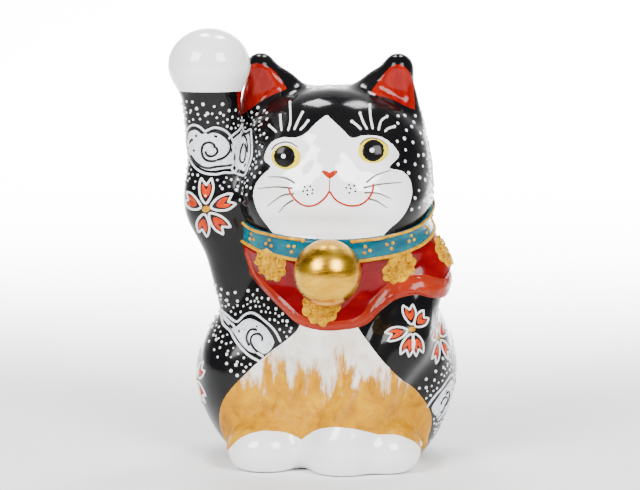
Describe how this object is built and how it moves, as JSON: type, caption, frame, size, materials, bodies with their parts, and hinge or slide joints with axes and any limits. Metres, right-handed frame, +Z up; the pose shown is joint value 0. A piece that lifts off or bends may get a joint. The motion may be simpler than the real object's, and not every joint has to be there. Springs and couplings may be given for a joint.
{
  "type": "beckoning cat figurine",
  "caption": "Seated hollow porcelain cat with its right forepaw raised, a bell on a collar, a bib and raised enamel blossoms and clouds.",
  "frame": {"origin": "centre of the flat underside that the figurine stands on", "axes": "+Z up, the face looks along -Y, +X is the cat's own left"},
  "size_m": [0.13, 0.1139, 0.1969],
  "materials": {
    "black_glaze": "glossy black glaze",
    "white_porcelain": "clear glaze over white porcelain",
    "biscuit": "unglazed biscuit",
    "red_enamel": "glossy deep red enamel",
    "ear_red": "glossy brushed red enamel",
    "turquoise_enamel": "glossy turquoise enamel",
    "yellow_enamel": "glossy raised yellow enamel",
    "gold_lustre": "brushed gold lustre",
    "ochre_enamel": "rough raised enamel, ochre brushed over white",
    "orange_enamel": "glossy orange enamel",
    "white_slip": "raised white slip",
    "eye_yellow": "glossy yellow enamel",
    "eye_black": "glossy black enamel",
    "mouth_red": "red-brown enamel line",
    "brown_line": "thin grey-brown enamel line"
  },
  "bodies": {
    "root": {"body_casting": "black_glaze", "base_slab": "biscuit", "head_casting": "black_glaze", "raised_arm": "black_glaze", "raised_paw": "white_porcelain", "lowered_arm": "black_glaze", "right_foot": "white_porcelain", "left_foot": "white_porcelain", "right_ear": "black_glaze", "left_ear": "black_glaze", "tail": "black_glaze", "collar": "turquoise_enamel", "bib": "red_enamel", "bell": "gold_lustre", "belly_relief": "ochre_enamel", "ear_linings": "ear_red", "eye_irises": "eye_yellow", "eye_pupils": "eye_black", "eye_glints": "white_slip", "lid_lines": "brown_line", "nose": "mouth_red", "mouth_line": "mouth_red", "whiskers": "brown_line", "muzzle_dots": "eye_black", "eyelashes": "white_slip", "blossom_petals": "orange_enamel", "blossom_outlines": "white_slip", "blossom_hearts": "yellow_enamel", "cloud_scrolls": "white_slip", "white_dots": "white_slip", "bib_medallions": "yellow_enamel", "collar_piping": "yellow_enamel", "collar_dots": "yellow_enamel"}
  },
  "joints": []
}
